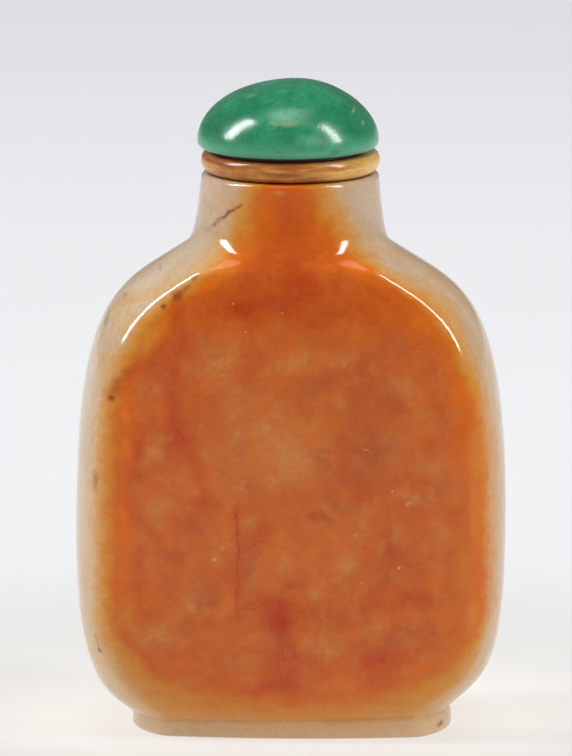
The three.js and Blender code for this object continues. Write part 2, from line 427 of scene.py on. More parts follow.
stone = {
    "shader": {
        "Subsurface Weight": 0.4, "Subsurface Radius": (1.0, 0.45, 0.22), "Subsurface Scale": 0.0018,
        "Specular IOR Level": 0.4,
    },
    "roughness": (0.07, 0.08),
    "reliefStrength": 0.5,
    "reliefDepth": 0.03,
    # from the pale skin to the orange, by how many millimetres inside the orange it is
    "rind": (
        (-4.0, sRgb(205, 182, 154)), (-2.6, sRgb(203, 177, 144)), (-1.9, sRgb(200, 164, 122)),
        (-1.3, sRgb(200, 153, 96)), (-0.6, sRgb(202, 141, 70)), (0.1, sRgb(202, 126, 42)),
        (0.9, sRgb(202, 108, 20)), (2.0, sRgb(198, 96, 16)),
    ),
    # the orange itself, from tan to deep red
    "ore": (
        (0.0, sRgb(206, 112, 38)), (0.3, sRgb(202, 98, 22)), (0.5, sRgb(192, 84, 16)),
        (0.7, sRgb(184, 68, 10)), (0.85, sRgb(178, 54, 8)), (1.0, sRgb(160, 38, 10)),
    ),
    "milk": sRgb(199, 124, 58),
    "dusk": sRgb(162, 74, 40),
    "fire": sRgb(220, 110, 2),
    "ochre": sRgb(207, 138, 44),
    "grey": sRgb(184, 164, 138),
    "tan": sRgb(200, 158, 104),
    "ash": sRgb(188, 162, 138),
    # the foot's own pale colour, made lighter also as painted light
    "foot": sRgb(196, 170, 138),
    "vein": sRgb(180, 40, 4),
    "darkVein": sRgb(120, 24, 6),
    "stain": sRgb(118, 36, 10),
    # pale flecks, and the colour of one painted glint
    "fleckAndGlint": sRgb(226, 176, 128),
    # where the orange ends: at the left and the right by height, and at the bottom by width
    "leftEdge": (
        (0, 18.9), (32, 18.6), (36, 18), (40, 16.8), (43.5, 14.8), (46, 12.2), (49, 8.2), (51.5, 5.6),
        (54, 4.6), (56, 4), (58, 3.2),
    ),
    "rightEdge": (
        (0, 20.8), (14, 20.6), (28, 20.2), (35, 19.2), (38, 18), (42, 16.2), (44.5, 14.6), (47, 11.8),
        (49, 8.4), (51.5, 5.4), (54, 4.2), (56, 3.2), (58, 2.2),
    ),
    "bottomEdge": (
        (-22, 16), (-18, 10.6), (-16.5, 8.2), (-14.7, 6.2), (-12.4, 4.5), (-8.5, 3.4), (1, 2.6),
        (7.5, 3.1), (11.4, 4), (14, 5.2), (16.7, 7.4), (19.4, 11), (22, 16),
    ),
    # patches: x, z, half width, half height, strength, and any turn
    "orePatches": (
        (0, 46, 9, 3.6, 0.22), (0.2, 53.6, 3.6, 4.6, 0.26), (-5.5, 45.2, 3.2, 1.4, 0.22, 5),
        (3.4, 44.2, 3.6, 1.2, 0.24, 12), (0.6, 48.4, 3.4, 1.2, 0.14), (8.4, 46.8, 2.4, 1, 0.2, -30),
        (7.6, 45.2, 3.4, 1.8, 0.16, -20), (-11.4, 36, 1.8, 5, 0.2), (-11.6, 32.6, 2.4, 2.6, 0.3, -20),
        (-1.3, 13.4, 2.6, 3.4, 0.36, 12), (-0.4, 8.6, 2.2, 4.5, 0.26, 12), (13, 15.2, 2.6, 2, 0.24, -8),
        (5.6, 34.6, 3, 4, 0.12), (-9.2, 25, 2.2, 1.4, 0.3), (8.6, 9.2, 2.8, 2, 0.2, 20),
        (3, 23.6, 3, 1.2, 0.25), (-11.8, 19.6, 3.2, 1.4, 0.28), (-14.4, 13, 4, 4, -0.1),
        (7, 26.4, 1.4, 3, 0.2), (-2.5, 5.8, 4.4, 1.4, 0.35, 12), (13.4, 25.4, 2.2, 4, 0.16),
        (-13.6, 30, 2, 2, -0.16), (-4.6, 31.8, 1.6, 1.2, 0.25), (-3.4, 40.6, 2.4, 1.2, 0.2),
        (-3.2, 22, 2.2, 1.8, 0.22), (10.4, 20.2, 1.6, 3, 0.22, 30), (-8.2, 12.6, 2.2, 1.4, 0.24),
        (5.6, 13, 2, 1.6, 0.2), (0.4, 16.6, 2.2, 1, 0.3, 20),
    ),
    "milkPatches": (
        (-2.2, 30.6, 9, 6.4, 0.7), (1, 28.8, 4.6, 4, 0.3), (-7.6, 40.2, 2.8, 3.4, 0.55, 10),
        (1.6, 40, 6, 1.8, 0.4, 8), (-14.8, 37.2, 1.8, 2, 0.5), (-5.6, 35.6, 3.6, 3, 0.45),
        (11.4, 37.6, 1.9, 1.9, 0.5), (-13.6, 31, 1.6, 1.8, 0.5), (-13.7, 24.5, 2.6, 2.8, 0.5),
        (9.6, 31.2, 3.6, 3, 0.3), (-7.7, 19.3, 1.3, 1.7, 0.6), (-14.6, 11.4, 3.2, 2.4, 0.55),
        (5.5, 19.1, 2.1, 2.2, 0.8), (-0.2, 18.9, 1.5, 2, 0.55), (2.7, 15.8, 1.4, 1.4, 0.6),
        (9, 20.9, 0.9, 1, 0.5), (7.3, 23.3, 0.8, 0.9, 0.6), (12.3, 25.4, 1.5, 0.8, 0.8, 50),
        (3.4, 10.4, 2.2, 2, 0.6, 25), (8.2, 12.2, 1.8, 1, 0.45), (-10.2, 6.6, 2, 1.2, 0.5),
        (-4.8, 8.6, 3, 1.4, 0.55), (5.6, 6.2, 2.4, 1.2, 0.5), (15.2, 21.4, 1.8, 3.4, 0.45),
        (17.2, 27, 1.5, 2.6, 0.5), (16.6, 34, 1.2, 1.6, 0.35), (14.4, 8.6, 3, 1.6, 0.4, -30),
        (-9.5, 15.1, 1.9, 1.9, 0.45), (11, 11.2, 1.6, 1.2, 0.4), (0.4, 13.4, 3.4, 4.4, -0.35),
        (9.6, 14.4, 4, 3, -0.3), (3.6, 44.2, 2.4, 0.8, 0.15, -10), (14.4, 33, 1.4, 1.8, 0.35),
        (2.2, 33.6, 2.4, 1.6, 0.3),
    ),
    "duskPatches": (
        (2.8, 37.8, 3.6, 1.6, 0.6, 25), (8.6, 36.6, 4.4, 4.6, 0.4), (8.2, 30.4, 4.2, 5.4, 0.5),
        (-3.6, 37, 3.6, 1.8, 0.25), (-8.6, 15.6, 2.6, 2.4, 0.4), (-4.2, 18.8, 1.3, 4, 0.5),
        (-5.4, 30.8, 2.2, 1.2, 0.3), (-11.6, 44, 1.8, 3, 0.15), (-14.6, 37.4, 1.6, 2, 0.35),
        (0, 46.2, 8, 2.4, 0.1), (-13, 10.2, 2.6, 2, 0.2), (-9.6, 23.2, 3, 1.4, 0.3),
        (5.4, 24.8, 2, 1.4, 0.3), (2.4, 12.8, 1.6, 1.2, 0.25),
    ),
    "firePatches": (
        (13.6, 44, 2.8, 3, 0.75, -35), (17.2, 36, 1.8, 3.4, 0.5), (16.8, 30, 2, 3, 0.3),
        (16, 13.5, 1.8, 2.4, 0.4), (-17, 34, 1.1, 1.8, 0.7), (-16.6, 30.8, 1.2, 1.8, 0.5),
        (-17, 22.4, 1.6, 3.4, 0.4), (-16.8, 17.6, 1.6, 2.4, 0.4), (-13.6, 42.6, 3, 1.6, 0.4, 45),
        (-7.4, 48.6, 4.4, 1.8, 0.45, 30), (7.8, 48.2, 4, 1.6, 0.55, -28), (0.2, 53, 3.4, 4, 0.35),
        (9.6, 44.8, 3.6, 1.8, 0.35, -25), (14.6, 18, 1.6, 2.6, 0.3), (-10.2, 8.2, 2.2, 1.2, 0.5),
        (13, 7.6, 1.8, 1.4, 0.45), (-14.4, 15.6, 1.8, 1.8, 0.3), (3.6, 21.8, 1.8, 0.9, 0.3),
        (-5.2, 42.6, 1.8, 1, 0.2), (11.2, 13.4, 1.4, 1.2, 0.3), (-2.6, 4.6, 4, 1.2, 0.3),
    ),
    "ochrePatches": (
        (-14.8, 41.8, 1.9, 4.4, 0.8, -40), (-10.6, 47, 4.4, 1.3, 0.6, 35),
        (-6.2, 49.4, 2.2, 1.6, 0.45, 30), (15.8, 44.6, 1.1, 4, 0.5, 42), (18.6, 37, 1.3, 4, 0.6, 10),
        (18.9, 30, 1.6, 5, 0.55), (-18.3, 29, 0.9, 5, 0.5), (-18.4, 19, 0.9, 6, 0.5),
        (18.9, 24, 1.1, 6, 0.45), (18.6, 13, 1.4, 4, 0.5), (-16, 8.4, 3, 1.6, 0.6, -50),
        (-12.4, 5.6, 3.4, 1.2, 0.5, -20), (14.6, 5.8, 3.6, 1.2, 0.5, 25), (2, 3.2, 9, 0.9, 0.35),
        (-4.4, 53.6, 1.2, 4, 0.5, 8), (3.2, 54.8, 1.2, 3, 0.5, -10), (17.4, 18.6, 1.8, 6, 0.4),
        (-16.6, 13.6, 1.8, 3.6, 0.35), (16.2, 10, 2.4, 2.4, 0.35),
    ),
    # lines: points, half width, strength
    "veins": (
        (((-11.3, 46.3), (-11.4, 44.1), (-10.7, 41.8), (-12.1, 39), (-12.2, 36.6), (-11.85, 33.6),
          (-10.2, 30.6), (-9.3, 28.2)), 1.1, 0.4),
        (((-11.4, 44.6), (-10.8, 41.8), (-12, 39.2), (-12.2, 36.6), (-11.8, 33.6), (-10.2, 30.6),
          (-9.3, 28.2), (-8.6, 25.6)), 0.3, 0.45),
        (((-13.6, 33.8), (-11.9, 33.6), (-10.8, 31.6)), 1.2, 0.35),
        (((-8.6, 26.4), (-7, 24.6), (-5.8, 23.8)), 0.6, 0.25),
        (((-5.5, 24.6), (-5.3, 21), (-5.5, 17), (-5.2, 13.4)), 0.6, 0.35),
        (((-6.4, 13.4), (-4.4, 14.6), (-2.5, 15.4), (-0.6, 15), (1.4, 13.6)), 0.5, 0.3),
        (((-2.9, 15.6), (-2, 12.8), (-0.9, 9.9), (-0.2, 6.6), (-0.1, 4.2)), 1, 0.22),
        (((-2.7, 15.2), (-2, 12.6), (-0.9, 9.7), (-0.2, 6.2)), 0.24, 0.4),
        (((2.2, 14.2), (3, 12.6), (2.6, 10.4)), 0.35, 0.25),
        (((10, 18), (11, 16.2), (12.6, 15.2), (14, 15.4)), 0.4, 0.3),
        (((9.8, 24.6), (10.3, 22.2), (9.9, 20)), 0.3, 0.3),
        (((7.6, 11), (8.4, 9), (8.2, 6.4)), 0.35, 0.3),
        (((-15.2, 40), (-17, 38), (-18.4, 36.2)), 0.8, 0.35),
    ),
    "cracks": (
        (((-5.62, 24.2), (-5.35, 23), (-5.5, 21.8)), 0.16, 0.6),
        (((-5.5, 21.8), (-5.2, 20.4), (-5.42, 18.8), (-5.3, 17.2), (-5.6, 15.4), (-5.4, 13.8)), 0.15, 0.35),
        (((-5.1, 20.6), (-4, 20.7), (-3.2, 21.5), (-2.4, 21.4)), 0.09, 0.3),
        (((-6.2, 13.2), (-5, 14.3), (-3.6, 14.4), (-2.4, 15.3), (-1.2, 14.9)), 0.1, 0.35),
        (((-5.9, 12.8), (-4.6, 12.6), (-3.4, 13.4)), 0.08, 0.25),
        (((-1.2, 12), (-0.8, 10.2), (-0.5, 8.6)), 0.1, 0.3),
        (((-7.8, 53), (-6.9, 53.9), (-6.1, 54.6), (-5, 55.5)), 0.3, 0.75),
        (((-8.6, 52.3), (-7.6, 53.2)), 0.3, 0.35),
        (((-15.9, 47.7), (-15.1, 48.3)), 0.3, 0.7),
        (((-18.9, 42.5), (-18.6, 43.7)), 0.25, 0.5),
        (((-19.5, 9.3), (-20, 11)), 0.3, 0.4),
    ),
    "spots": (
        (-18.2, 35.9, 0.6, 0.6, 0.9), (-11.5, 46.5, 0.9, 0.7, 1, 40), (-10.7, 47.2, 1.1, 0.45, 0.8, 45),
        (-9.7, 48.2, 0.8, 0.35, 0.6, 40), (-12.9, 45.4, 0.4, 0.5, 0.8, -20),
        (-6.3, 54.6, 0.4, 0.35, 0.9, 30), (11.2, 50.8, 1.1, 0.5, 0.5, -30),
        (-13.3, 48.4, 0.3, 0.3, 0.4), (-17, 45.5, 0.5, 0.4, 0.4, 30), (-19.5, 9.3, 0.5, 0.5, 0.8),
        (15.4, 0.9, 0.6, 0.45, 0.8, 40), (-19.9, 27.2, 0.5, 1.6, 0.5), (-17.8, 37, 0.9, 1.4, 0.4, 20),
        (-16.6, 38.6, 1.8, 0.8, 0.3, 25), (-13.4, 39.6, 1.4, 0.4, 0.25, 15),
    ),
    # pale flecks in the stone; the first, at x -7.8, z 19.4, is a painted glint
    "flecksAndGlint": (
        (-7.8, 19.4, 0.32, 0.2, 0.8, 30), (12, 25.2, 0.5, 0.2, 0.4, 40), (11, 18.5, 0.2, 0.26, 0.9),
        (7.7, 30.8, 0.5, 0.12, 0.6, -15), (10.3, 26.5, 0.2, 0.2, 0.7), (-5.8, 45.7, 0.2, 0.16, 0.6, 30),
        (-0.8, 44.8, 0.16, 0.14, 0.5), (-4.5, 42.9, 0.2, 0.18, 0.6), (13, 40.8, 0.18, 0.14, 0.6),
        (-1.2, 56.9, 0.9, 0.4, 0.25, -10), (6.6, 22, 0.3, 0.4, 0.3), (-6.8, 20.6, 0.4, 0.14, 0.35, -30),
        (7.2, 17, 0.14, 0.4, 0.4, -45),
    ),
    # noise that moves the pattern: size, reach, seed
    "warps": {
        "wide": (8, 1.6, 1), "coarse": (2, 1, 2), "fine": (1.1, 0.5, 3), "edge": (0.9, 0.5, 14),
        "vein": (3, 0.6, 15), "veinEdge": (0.7, 0.3, 16),
    },
    # noise in the pattern: size, detail, roughness, seed
    "noise": {
        "feathers": (1.1, 3, 0.6, 17), "grey": (6, 4, 0.55, 6), "tan": (4, 4, 0.55, 7),
        "clouds": (6, 2, 0.5, 4), "blots": (2, 3, 0.6, 5), "wisps": (0.7, 4, 0.65, 18),
        "milk": (2.2, 4, 0.6, 8), "dusk": (2.6, 4, 0.6, 19), "breaks": (0.9, 3, 0.6, 9),
        "grain": (0.42, 3, 0.7, 10), "polish": (1.6, 3, 0.6, 11), "hollows": (1.1, 2, 0.5, 12),
        "pits": (0.35, 2, 0.5, 13),
    },
    "featherStretch": (0.45, 1, 1.3),
    "wispStretch": (0.7, 1, 1.4),
    # how far the orange's edge strays, and how blurred it is at the neck and the foot
    "feathers": 2.4,
    "neckBlur": 0.2,
    "footBlur": 0.6,
    "grain": 0.2,
}


# The sum of a list of patches, on the front alone.
def gather(g, place, front, patches):
    total = None
    for x, z, halfWidth, halfHeight, strength, *turn in patches:
        mask = g.patch(place, x, z, halfWidth, halfHeight, *turn) * strength
        total = mask if total is None else total + mask
    return front * total


# The strongest of a list of lines.
def strongest(g, place, lines, widthTimes, core):
    total = None
    for points, halfWidth, strength in lines:
        mask = g.stroke(place, points, halfWidth * widthTimes, core) * strength
        total = mask if total is None else g.maths("MAXIMUM", total, mask)
    return total


def makeBottleStone():
    material, g, shader, place = newMaterial("bottleStone", stone["shader"])
    warps, noise = stone["warps"], stone["noise"]
    wide = g.warp(place, *warps["wide"])
    coarse = g.warp(wide, *warps["coarse"])
    fine = g.warp(place, *warps["fine"])
    x, _, z = g.split(g.warp(coarse, *warps["edge"]))
    _, depth, _ = g.split(place)
    front = g.ease(depth, -1, -4)
    flat = flattened(g, coarse)
    fineFlat = flattened(g, fine)
    veinFlat = flattened(g, g.warp(g.warp(place, *warps["vein"]), *warps["veinEdge"]))

    # how far inside the orange: below 0 in the pale skin
    left = follow(g, z, stone["leftEdge"]) + x
    right = follow(g, z, stone["rightEdge"]) - x
    bottom = z - follow(g, x, stone["bottomEdge"])
    inside = g.maths("SMOOTH_MIN", g.maths("SMOOTH_MIN", left, right, 1.0), bottom, 1.5)
    feathers = g.noise(g.vector("MULTIPLY", coarse, stone["featherStretch"]), *noise["feathers"]) - 0.5
    blurred = g.ease(z, 49, 52) * stone["neckBlur"] + g.ease(z, 16, 5) * stone["footBlur"]
    inside = (inside + feathers * stone["feathers"]) * (1 - blurred)
    skin = ramp(g, inside, stone["rind"])

    # the pale skin: greyer and yellower clouds
    outer = g.ease(inside, -0.9, -2.4)
    grey = g.ease(g.noise(wide, *noise["grey"]), 0.42, 0.62) * outer
    skin = g.mix(grey * 0.5, skin, stone["grey"])
    tan = (g.ease(g.noise(wide, *noise["tan"]), 0.45, 0.62) + g.ease(z, 32, 16) * 0.8) * outer
    skin = g.mix(tan * 0.8, skin, stone["tan"])
    skin = g.mix(g.ease(z, 49.5, 52) * outer * 0.5, skin, stone["ash"])
    # the foot paler: partly its own colour, partly painted light that lifts the shade on the recessed foot
    skin = g.mix(g.ease(z, 2.6, 1.2) * 0.6, skin, stone["foot"])

    # the orange: clouds of two sizes, and thin wisps
    deep = g.ease(z + feathers * 9, 46.5, 40.5, 0.12, 1)
    clouds = g.noise(wide, *noise["clouds"]) - 0.5
    blots = g.noise(coarse, *noise["blots"]) - 0.5
    wisps = g.noise(g.vector("MULTIPLY", fine, stone["wispStretch"]), *noise["wisps"]) - 0.5
    ore = 0.46 + clouds * 0.6 + blots * 0.8 + wisps * 0.4 + gather(g, flat, front, stone["orePatches"])
    core = ramp(g, ore, stone["ore"])
    milkNoise = g.ease(g.noise(coarse, *noise["milk"]), 0.46, 0.7) * 0.5 + g.ease(inside, 2.5, 6) * 0.2
    milk = milkNoise * deep + gather(g, flat, front, stone["milkPatches"])
    core = g.mix(milk * (0.8 + blots * 1.4 + wisps * 1.8), core, stone["milk"])
    duskNoise = g.ease(g.noise(coarse, *noise["dusk"]), 0.5, 0.72) * 0.5
    dusk = duskNoise * deep + gather(g, flat, front, stone["duskPatches"])
    core = g.mix(dusk * (0.8 - wisps * 1.4), core, stone["dusk"])
    ring = g.ease(inside, 3.6, 1.4) * g.ease(z, 8, 22, 0.2, 0.45)
    fire = gather(g, flat, front, stone["firePatches"]) + ring
    core = g.mix(fire * (0.8 + blots * 3), core, stone["fire"])
    colour = g.mix(g.ease(inside, -0.2, 1.8), skin, core)
    ochre = gather(g, flat, front, stone["ochrePatches"])
    colour = g.mix(ochre * (0.8 + blots * 1.4), colour, stone["ochre"])

    # the lines and dots, broken up along their run
    broken = g.ease(g.noise(fine, *noise["breaks"]), 0.3, 0.62)
    veins = strongest(g, veinFlat, stone["veins"], 1.5, 0.0)
    colour = g.mix(front * veins * (0.5 + 0.5 * broken), colour, stone["vein"])
    cracks = strongest(g, fineFlat, stone["cracks"], 1.0, 0.1)
    colour = g.mix(front * cracks * (0.35 + 0.65 * broken), colour, stone["darkVein"])
    spots = gather(g, fineFlat, front, stone["spots"])
    colour = g.mix(spots * (0.4 + 0.6 * broken), colour, stone["stain"])
    # pale flecks, with one painted glint
    colour = g.mix(gather(g, fineFlat, front, stone["flecksAndGlint"]), colour, stone["fleckAndGlint"])
    colour = grained(g, colour, g.noise(place, *noise["grain"]), stone["grain"])
    height = g.noise(place, *noise["hollows"]) * 0.6 + g.noise(place, *noise["pits"]) * 0.12
    dressSurface(g, shader, stone, colour, g.noise(place, *noise["polish"]), height)
    return material


bottleStone = makeBottleStone()

hornFinish = {
    "shader": {
        "Subsurface Weight": 0.3, "Subsurface Radius": (1.0, 0.5, 0.2), "Subsurface Scale": 0.001,
        "Specular IOR Level": 0.4,
    },
    "roughness": (0.16, 0.16),
    "reliefStrength": 0.5,
    "reliefDepth": 0.03,
    # from dark streaks to golden ones
    "streaks": (
        (0.0, sRgb(120, 54, 22)), (0.3, sRgb(154, 82, 30)), (0.5, sRgb(180, 112, 42)),
        (0.72, sRgb(208, 152, 68)), (1.0, sRgb(230, 188, 108)),
    ),
    "blush": sRgb(146, 70, 40),
    "warp": (3.0, 0.5, 1.0),
    "noise": {
        "streaks": (0.55, 5, 0.6, 2), "clouds": (1.8, 4, 0.6, 3), "blush": (0.9, 4, 0.55, 4),
        "grain": (0.12, 3, 0.6, 5), "polish": (0.8, 3, 0.6, 6), "pits": (0.5, 2, 0.5, 7),
    },
    "streakStretch": (0.16, 0.16, 1.2),
    "cloudStretch": (0.5, 0.5, 1.0),
    "topEdge": (1.15, 0.25),  # above the underside, and below the top
    "underEdge": (0.75, 0.15),  # above the underside
    "grain": 0.25,
}


def makeHorn():
    material, g, shader, place = newMaterial("horn", hornFinish["shader"])
    noise = hornFinish["noise"]
    x, _, _ = g.split(place)
    moved = g.warp(place, *hornFinish["warp"])
    grainPlace = g.vector("MULTIPLY", moved, hornFinish["streakStretch"])
    streaks = g.noise(grainPlace, *noise["streaks"]) - 0.5
    clouds = g.noise(g.vector("MULTIPLY", moved, hornFinish["cloudStretch"]), *noise["clouds"]) - 0.5
    golden = g.ease(x, 0.5, 8) * 0.5 + g.ease(x, -3, -8.5) * 0.12
    colour = ramp(g, 0.52 + golden + streaks * 1.2 + clouds * 0.9, hornFinish["streaks"])
    low, high = collarLow.z / mm, collarHigh.z / mm
    _, _, movedZ = g.split(moved)
    topFrom, topBy = hornFinish["topEdge"]
    underFrom, underBy = hornFinish["underEdge"]
    edges = (g.ease(movedZ, low + topFrom, high - topBy)
             + g.ease(movedZ, low + underFrom, low + underBy) * 0.8)
    blush = g.ease(g.noise(grainPlace, *noise["blush"]), 0.42, 0.66) * g.ease(x, 7.5, 1)
    colour = g.mix((blush + 0.4) * (edges * 0.75 + 0.12), colour, hornFinish["blush"])
    colour = grained(g, colour, g.noise(grainPlace, *noise["grain"]), hornFinish["grain"])
    height = streaks + g.noise(place, *noise["pits"]) * 0.4
    dressSurface(g, shader, hornFinish, colour, g.noise(moved, *noise["polish"]), height)
    return material


greenFinish = {
    "shader": {
        "Subsurface Weight": 0.3, "Subsurface Radius": (0.4, 1.0, 0.7), "Subsurface Scale": 0.0014,
        "Specular IOR Level": 0.5,
    },
    "roughness": (0.15, 0.14),
    "reliefStrength": 0.6,
    "reliefDepth": 0.035,
    "greens": (
        (0.0, sRgb(14, 96, 62)), (0.32, sRgb(22, 116, 78)), (0.5, sRgb(32, 128, 90)),
        (0.68, sRgb(50, 140, 104)), (1.0, sRgb(98, 168, 132)),
    ),
    "straw": sRgb(150, 158, 84),
    # painted shade: dark brown for the seat in the gap under the cap's rim
    "seatShade": sRgb(52, 30, 18),
    "dark": sRgb(12, 66, 46),
    # pale green: the stone's pale clouds, and also the colour of painted light on the dome
    "cloud": sRgb(104, 184, 144),
    # patches: x, z, half width, half height, strength, and any turn
    "straws": (
        (6.4, 64.5, 0.36, 0.26, 0.9, 50), (7.35, 63.3, 0.22, 0.34, 0.7, 10),
        (-0.2, 63.8, 1.5, 0.42, 0.4, 6), (-1.7, 63.8, 0.8, 0.2, 0.4, -10),
        (-4, 66, 0.9, 0.16, 0.35, 15), (3, 62, 1.2, 0.5, 0.25),
    ),
    "darks": (
        (3.4, 62.6, 0.2, 0.12, 0.9), (-3.6, 64.2, 0.24, 0.1, 0.7, 20), (4.6, 60.9, 0.9, 0.5, 0.4),
    ),
    # pale patches on the front: partly the stone's own clouds, partly a painted reflection of the light
    # above, high on the dome
    "palesAndReflection": (
        (2.2, 62.2, 2.4, 1, 0.4), (-0.7, 64.5, 1.9, 0.9, 0.35, 5), (1, 60.7, 6.5, 0.6, 0.25),
        (4.4, 61.4, 1.8, 1, 0.25),
    ),
    "warps": {"wide": (5, 2, 1), "fine": (1.2, 0.5, 2), "marks": (0.8, 0.3, 3)},
    "noise": {
        "clouds": (3.6, 3, 0.55, 4), "mottle": (0.9, 4, 0.65, 5), "motes": (0.34, 2, 0.5, 6),
        "glints": (0.5, 2, 0.5, 7), "polish": (1.2, 3, 0.6, 8), "hollows": (0.9, 2, 0.5, 9),
        "pits": (0.25, 2, 0.5, 10),
    },
    "rim": (3.0, 0.8),  # painted light: a paler band, fading in from the first height above the underside to full by the second
    "seatShadeTop": 0.5,  # top of the painted shade, the same as the seat's height
    "seatShadeEdge": (0.01, 0.05),  # where the painted shade fades in, below its top
}


def makeGreenStone():
    material, g, shader, place = newMaterial("greenStone", greenFinish["shader"])
    warps, noise = greenFinish["warps"], greenFinish["noise"]
    dark, pale, low = greenFinish["dark"], greenFinish["cloud"], capLow.z / mm
    moved = g.warp(g.warp(place, *warps["wide"]), *warps["fine"])
    movedX, movedY, movedZ = g.split(g.warp(place, *warps["marks"]))
    flat = g.join(movedX, movedZ, 0)
    front = g.ease(movedY, 1, -2)
    clouds = g.noise(moved, *noise["clouds"]) - 0.5
    mottle = g.noise(moved, *noise["mottle"]) - 0.5
    colour = ramp(g, 0.42 + clouds * 1.1 + mottle * 0.95, greenFinish["greens"])
    litBandFrom, litBandBy = greenFinish["rim"]
    # painted light: the lower part of the dome made paler, as if lit from the floor and the collar below
    colour = g.mix(g.ease(movedZ, low + litBandFrom, low + litBandBy) * 0.5, colour, pale)
    # pale patches: partly the stone's own clouds, partly a painted reflection
    colour = g.mix(gather(g, flat, front, greenFinish["palesAndReflection"]) * (1 + mottle), colour, pale)
    motes = g.ease(g.noise(place, *noise["motes"]), 0.64, 0.74)
    colour = g.mix(motes * 0.55, colour, dark)
    glints = g.ease(g.noise(place, *noise["glints"]), 0.7, 0.78)
    colour = g.mix(glints * 0.4, colour, pale)
    colour = g.mix(gather(g, flat, front, greenFinish["straws"]), colour, greenFinish["straw"])
    colour = g.mix(gather(g, flat, front, greenFinish["darks"]), colour, dark)
    _, _, z = g.split(place)
    seatShadeTop = low + greenFinish["seatShadeTop"]
    shadeFrom, shadeBy = greenFinish["seatShadeEdge"]
    # painted shade: the seat under the rim is made dark brown, where shade falls in the gap above the
    # collar
    colour = g.mix(g.ease(z, seatShadeTop - shadeFrom, seatShadeTop - shadeBy), colour, greenFinish["seatShade"])
    height = g.noise(place, *noise["hollows"]) + g.noise(place, *noise["pits"]) * 0.3
    dressSurface(g, shader, greenFinish, colour, g.noise(place, *noise["polish"]), height)
    return material


horn = makeHorn()
greenStone = makeGreenStone()
print("materials made")

bottle = {
    "clearance": 0.06,  # the skin keeps this far inside the frame's solid, for its ripple
    "ripple": (0.09, 7.0),  # depth, length
    "footHalfWidth": 16.47,
    "footHalfDepth": 8.1,
    "footHeight": 1.9,
    "footRim": 2.0,
    "footRecess": 1.0,
    "footEdge": 0.4,
    "footFillet": 0.3,  # where the recess meets the rim
    "footFilletMiddle": (0.22, 0.08),
    "footBevel": 0.12,
    "footSideStep": 0.05,
    "footArcs": (85, 9, 2.3),
    "bodyArcs": (130, 21, 3.1),
    "shoulderArcs": (130, 15, 3.1),
    "bodyArcsBy": 12,
    "shoulderArcsFrom": 38,
    "shoulderArcsBy": 48,
    "widestAt": 21.0,
    "neckHalfWidth": 10.65,
    "neckHalfDepth": 9.9,
    "neckAt": 50.3,
    "lipRadius": 9.12,
    "lipEdge": 0.5,
    "mouthRadius": 4.25,
    "mouthEdge": ((0.35, 0), (0.15, 0.06), (0.04, 0.18), (0, 0.4)),  # out from the mouth, down from the lip
    "roundFrom": 48.6,
    "roundBy": 51.8,
    "spacing": 0.36,
    # how the outlines bow between the foot, the widest place, the neck and the lip
    "frontBow": {
        "foot": (19.9, 4.6), "hipAt": 5.9, "chestAt": 46.8, "shoulder": (17.16, 45.5),
        "neck": (10.05, 50.8), "throat": (9.63, 51.2),
    },
    "sideBow": {
        "foot": (9.7, 2.9), "hipAt": 8, "chestAt": 36, "shoulder": (11, 45),
        "neck": (9.6, 51.4), "throat": (9.25, 52.6),
    },
    # the hollow, from the end of the bore to the floor, across and from front to back
    "boreEnd": 50,
    "boreBow": (55, 52),
    "hollowWide": ((6, 46), (16.8, 44.5), (17, 30), (17, 14), (16.4, 6.2), (7, 6.2)),
    "hollowDeep": ((5, 45), (7.7, 42), (7.9, 30), (7.9, 14), (7.5, 6.2), (3, 6.2)),
    "hollowArcs": (90, 14, 3.0),
    "hollowRoundTop": 9,  # round at the bore, and no longer so this far below it
    "hollowRoundLow": (12, 5),  # from this height, and round again this far below it
    "hollowStraightBelow": 40,
    "hollowSpacing": 0.9,
    # how the hand-cut outline strays: height, spread and amount
    "shifts": (
        (1.0, 1.3, 0.22), (3.5, 2.5, -0.2), (32.0, 14.0, 0.08), (49.0, 3.6, -0.18), (56.0, 4.0, -0.04),
    ),
    "tilts": ((2.2, 2.6, 0.016),),
    "skews": ((0.0, 4.0, -0.026),),
}


def bump(z, bumps):
    return sum(amount * math.exp(-(((z - at) / spread) ** 2)) for at, spread, amount in bumps)


def drift(z):
    tilt = bump(z, bottle["tilts"]) * smooth(z, 0.3, 1.5)
    return bump(z, bottle["shifts"]), tilt, bump(z, bottle["skews"])


# The half widths or half depths of the outside, as (half size, height) points.
def bottleOutline(bow, footHalf, half, neckHalf, lipAt):
    foot, widest, neckAt = bottle["footHeight"], bottle["widestAt"], bottle["neckAt"]
    lip = (bottle["lipRadius"], lipAt - bottle["lipEdge"])
    return np.concatenate([
        curve((footHalf, foot), bow["foot"], (half, bow["hipAt"]), (half, widest), 300),
        curve((half, widest), (half, bow["chestAt"]), bow["shoulder"], (neckHalf, neckAt), 300)[1:],
        curve((neckHalf, neckAt), bow["neck"], bow["throat"], lip, 100)[1:],
    ])


# The recess, the rim and the edge of the foot, as (inset, height) points.
def footLine():
    edge, bevel, recess = bottle["footEdge"], bottle["footBevel"], bottle["footRecess"]
    fillet, (middleIn, middleDown) = bottle["footFillet"], bottle["footFilletMiddle"]
    rim = edge + bottle["footRim"]
    inner = rim + fillet
    line = [(inner, recess), (inner - middleIn, recess - middleDown), (rim, recess - fillet)]
    line += [(rim, bevel), (rim - bevel, 0)]
    line += [(edge * (1 - math.sin(t)), edge * (1 - math.cos(t))) for t in np.radians(range(0, 91, 18))]
    return line + [(0, z) for z in np.linspace(edge, bottle["footHeight"] - 0.05, 5)[1:]]


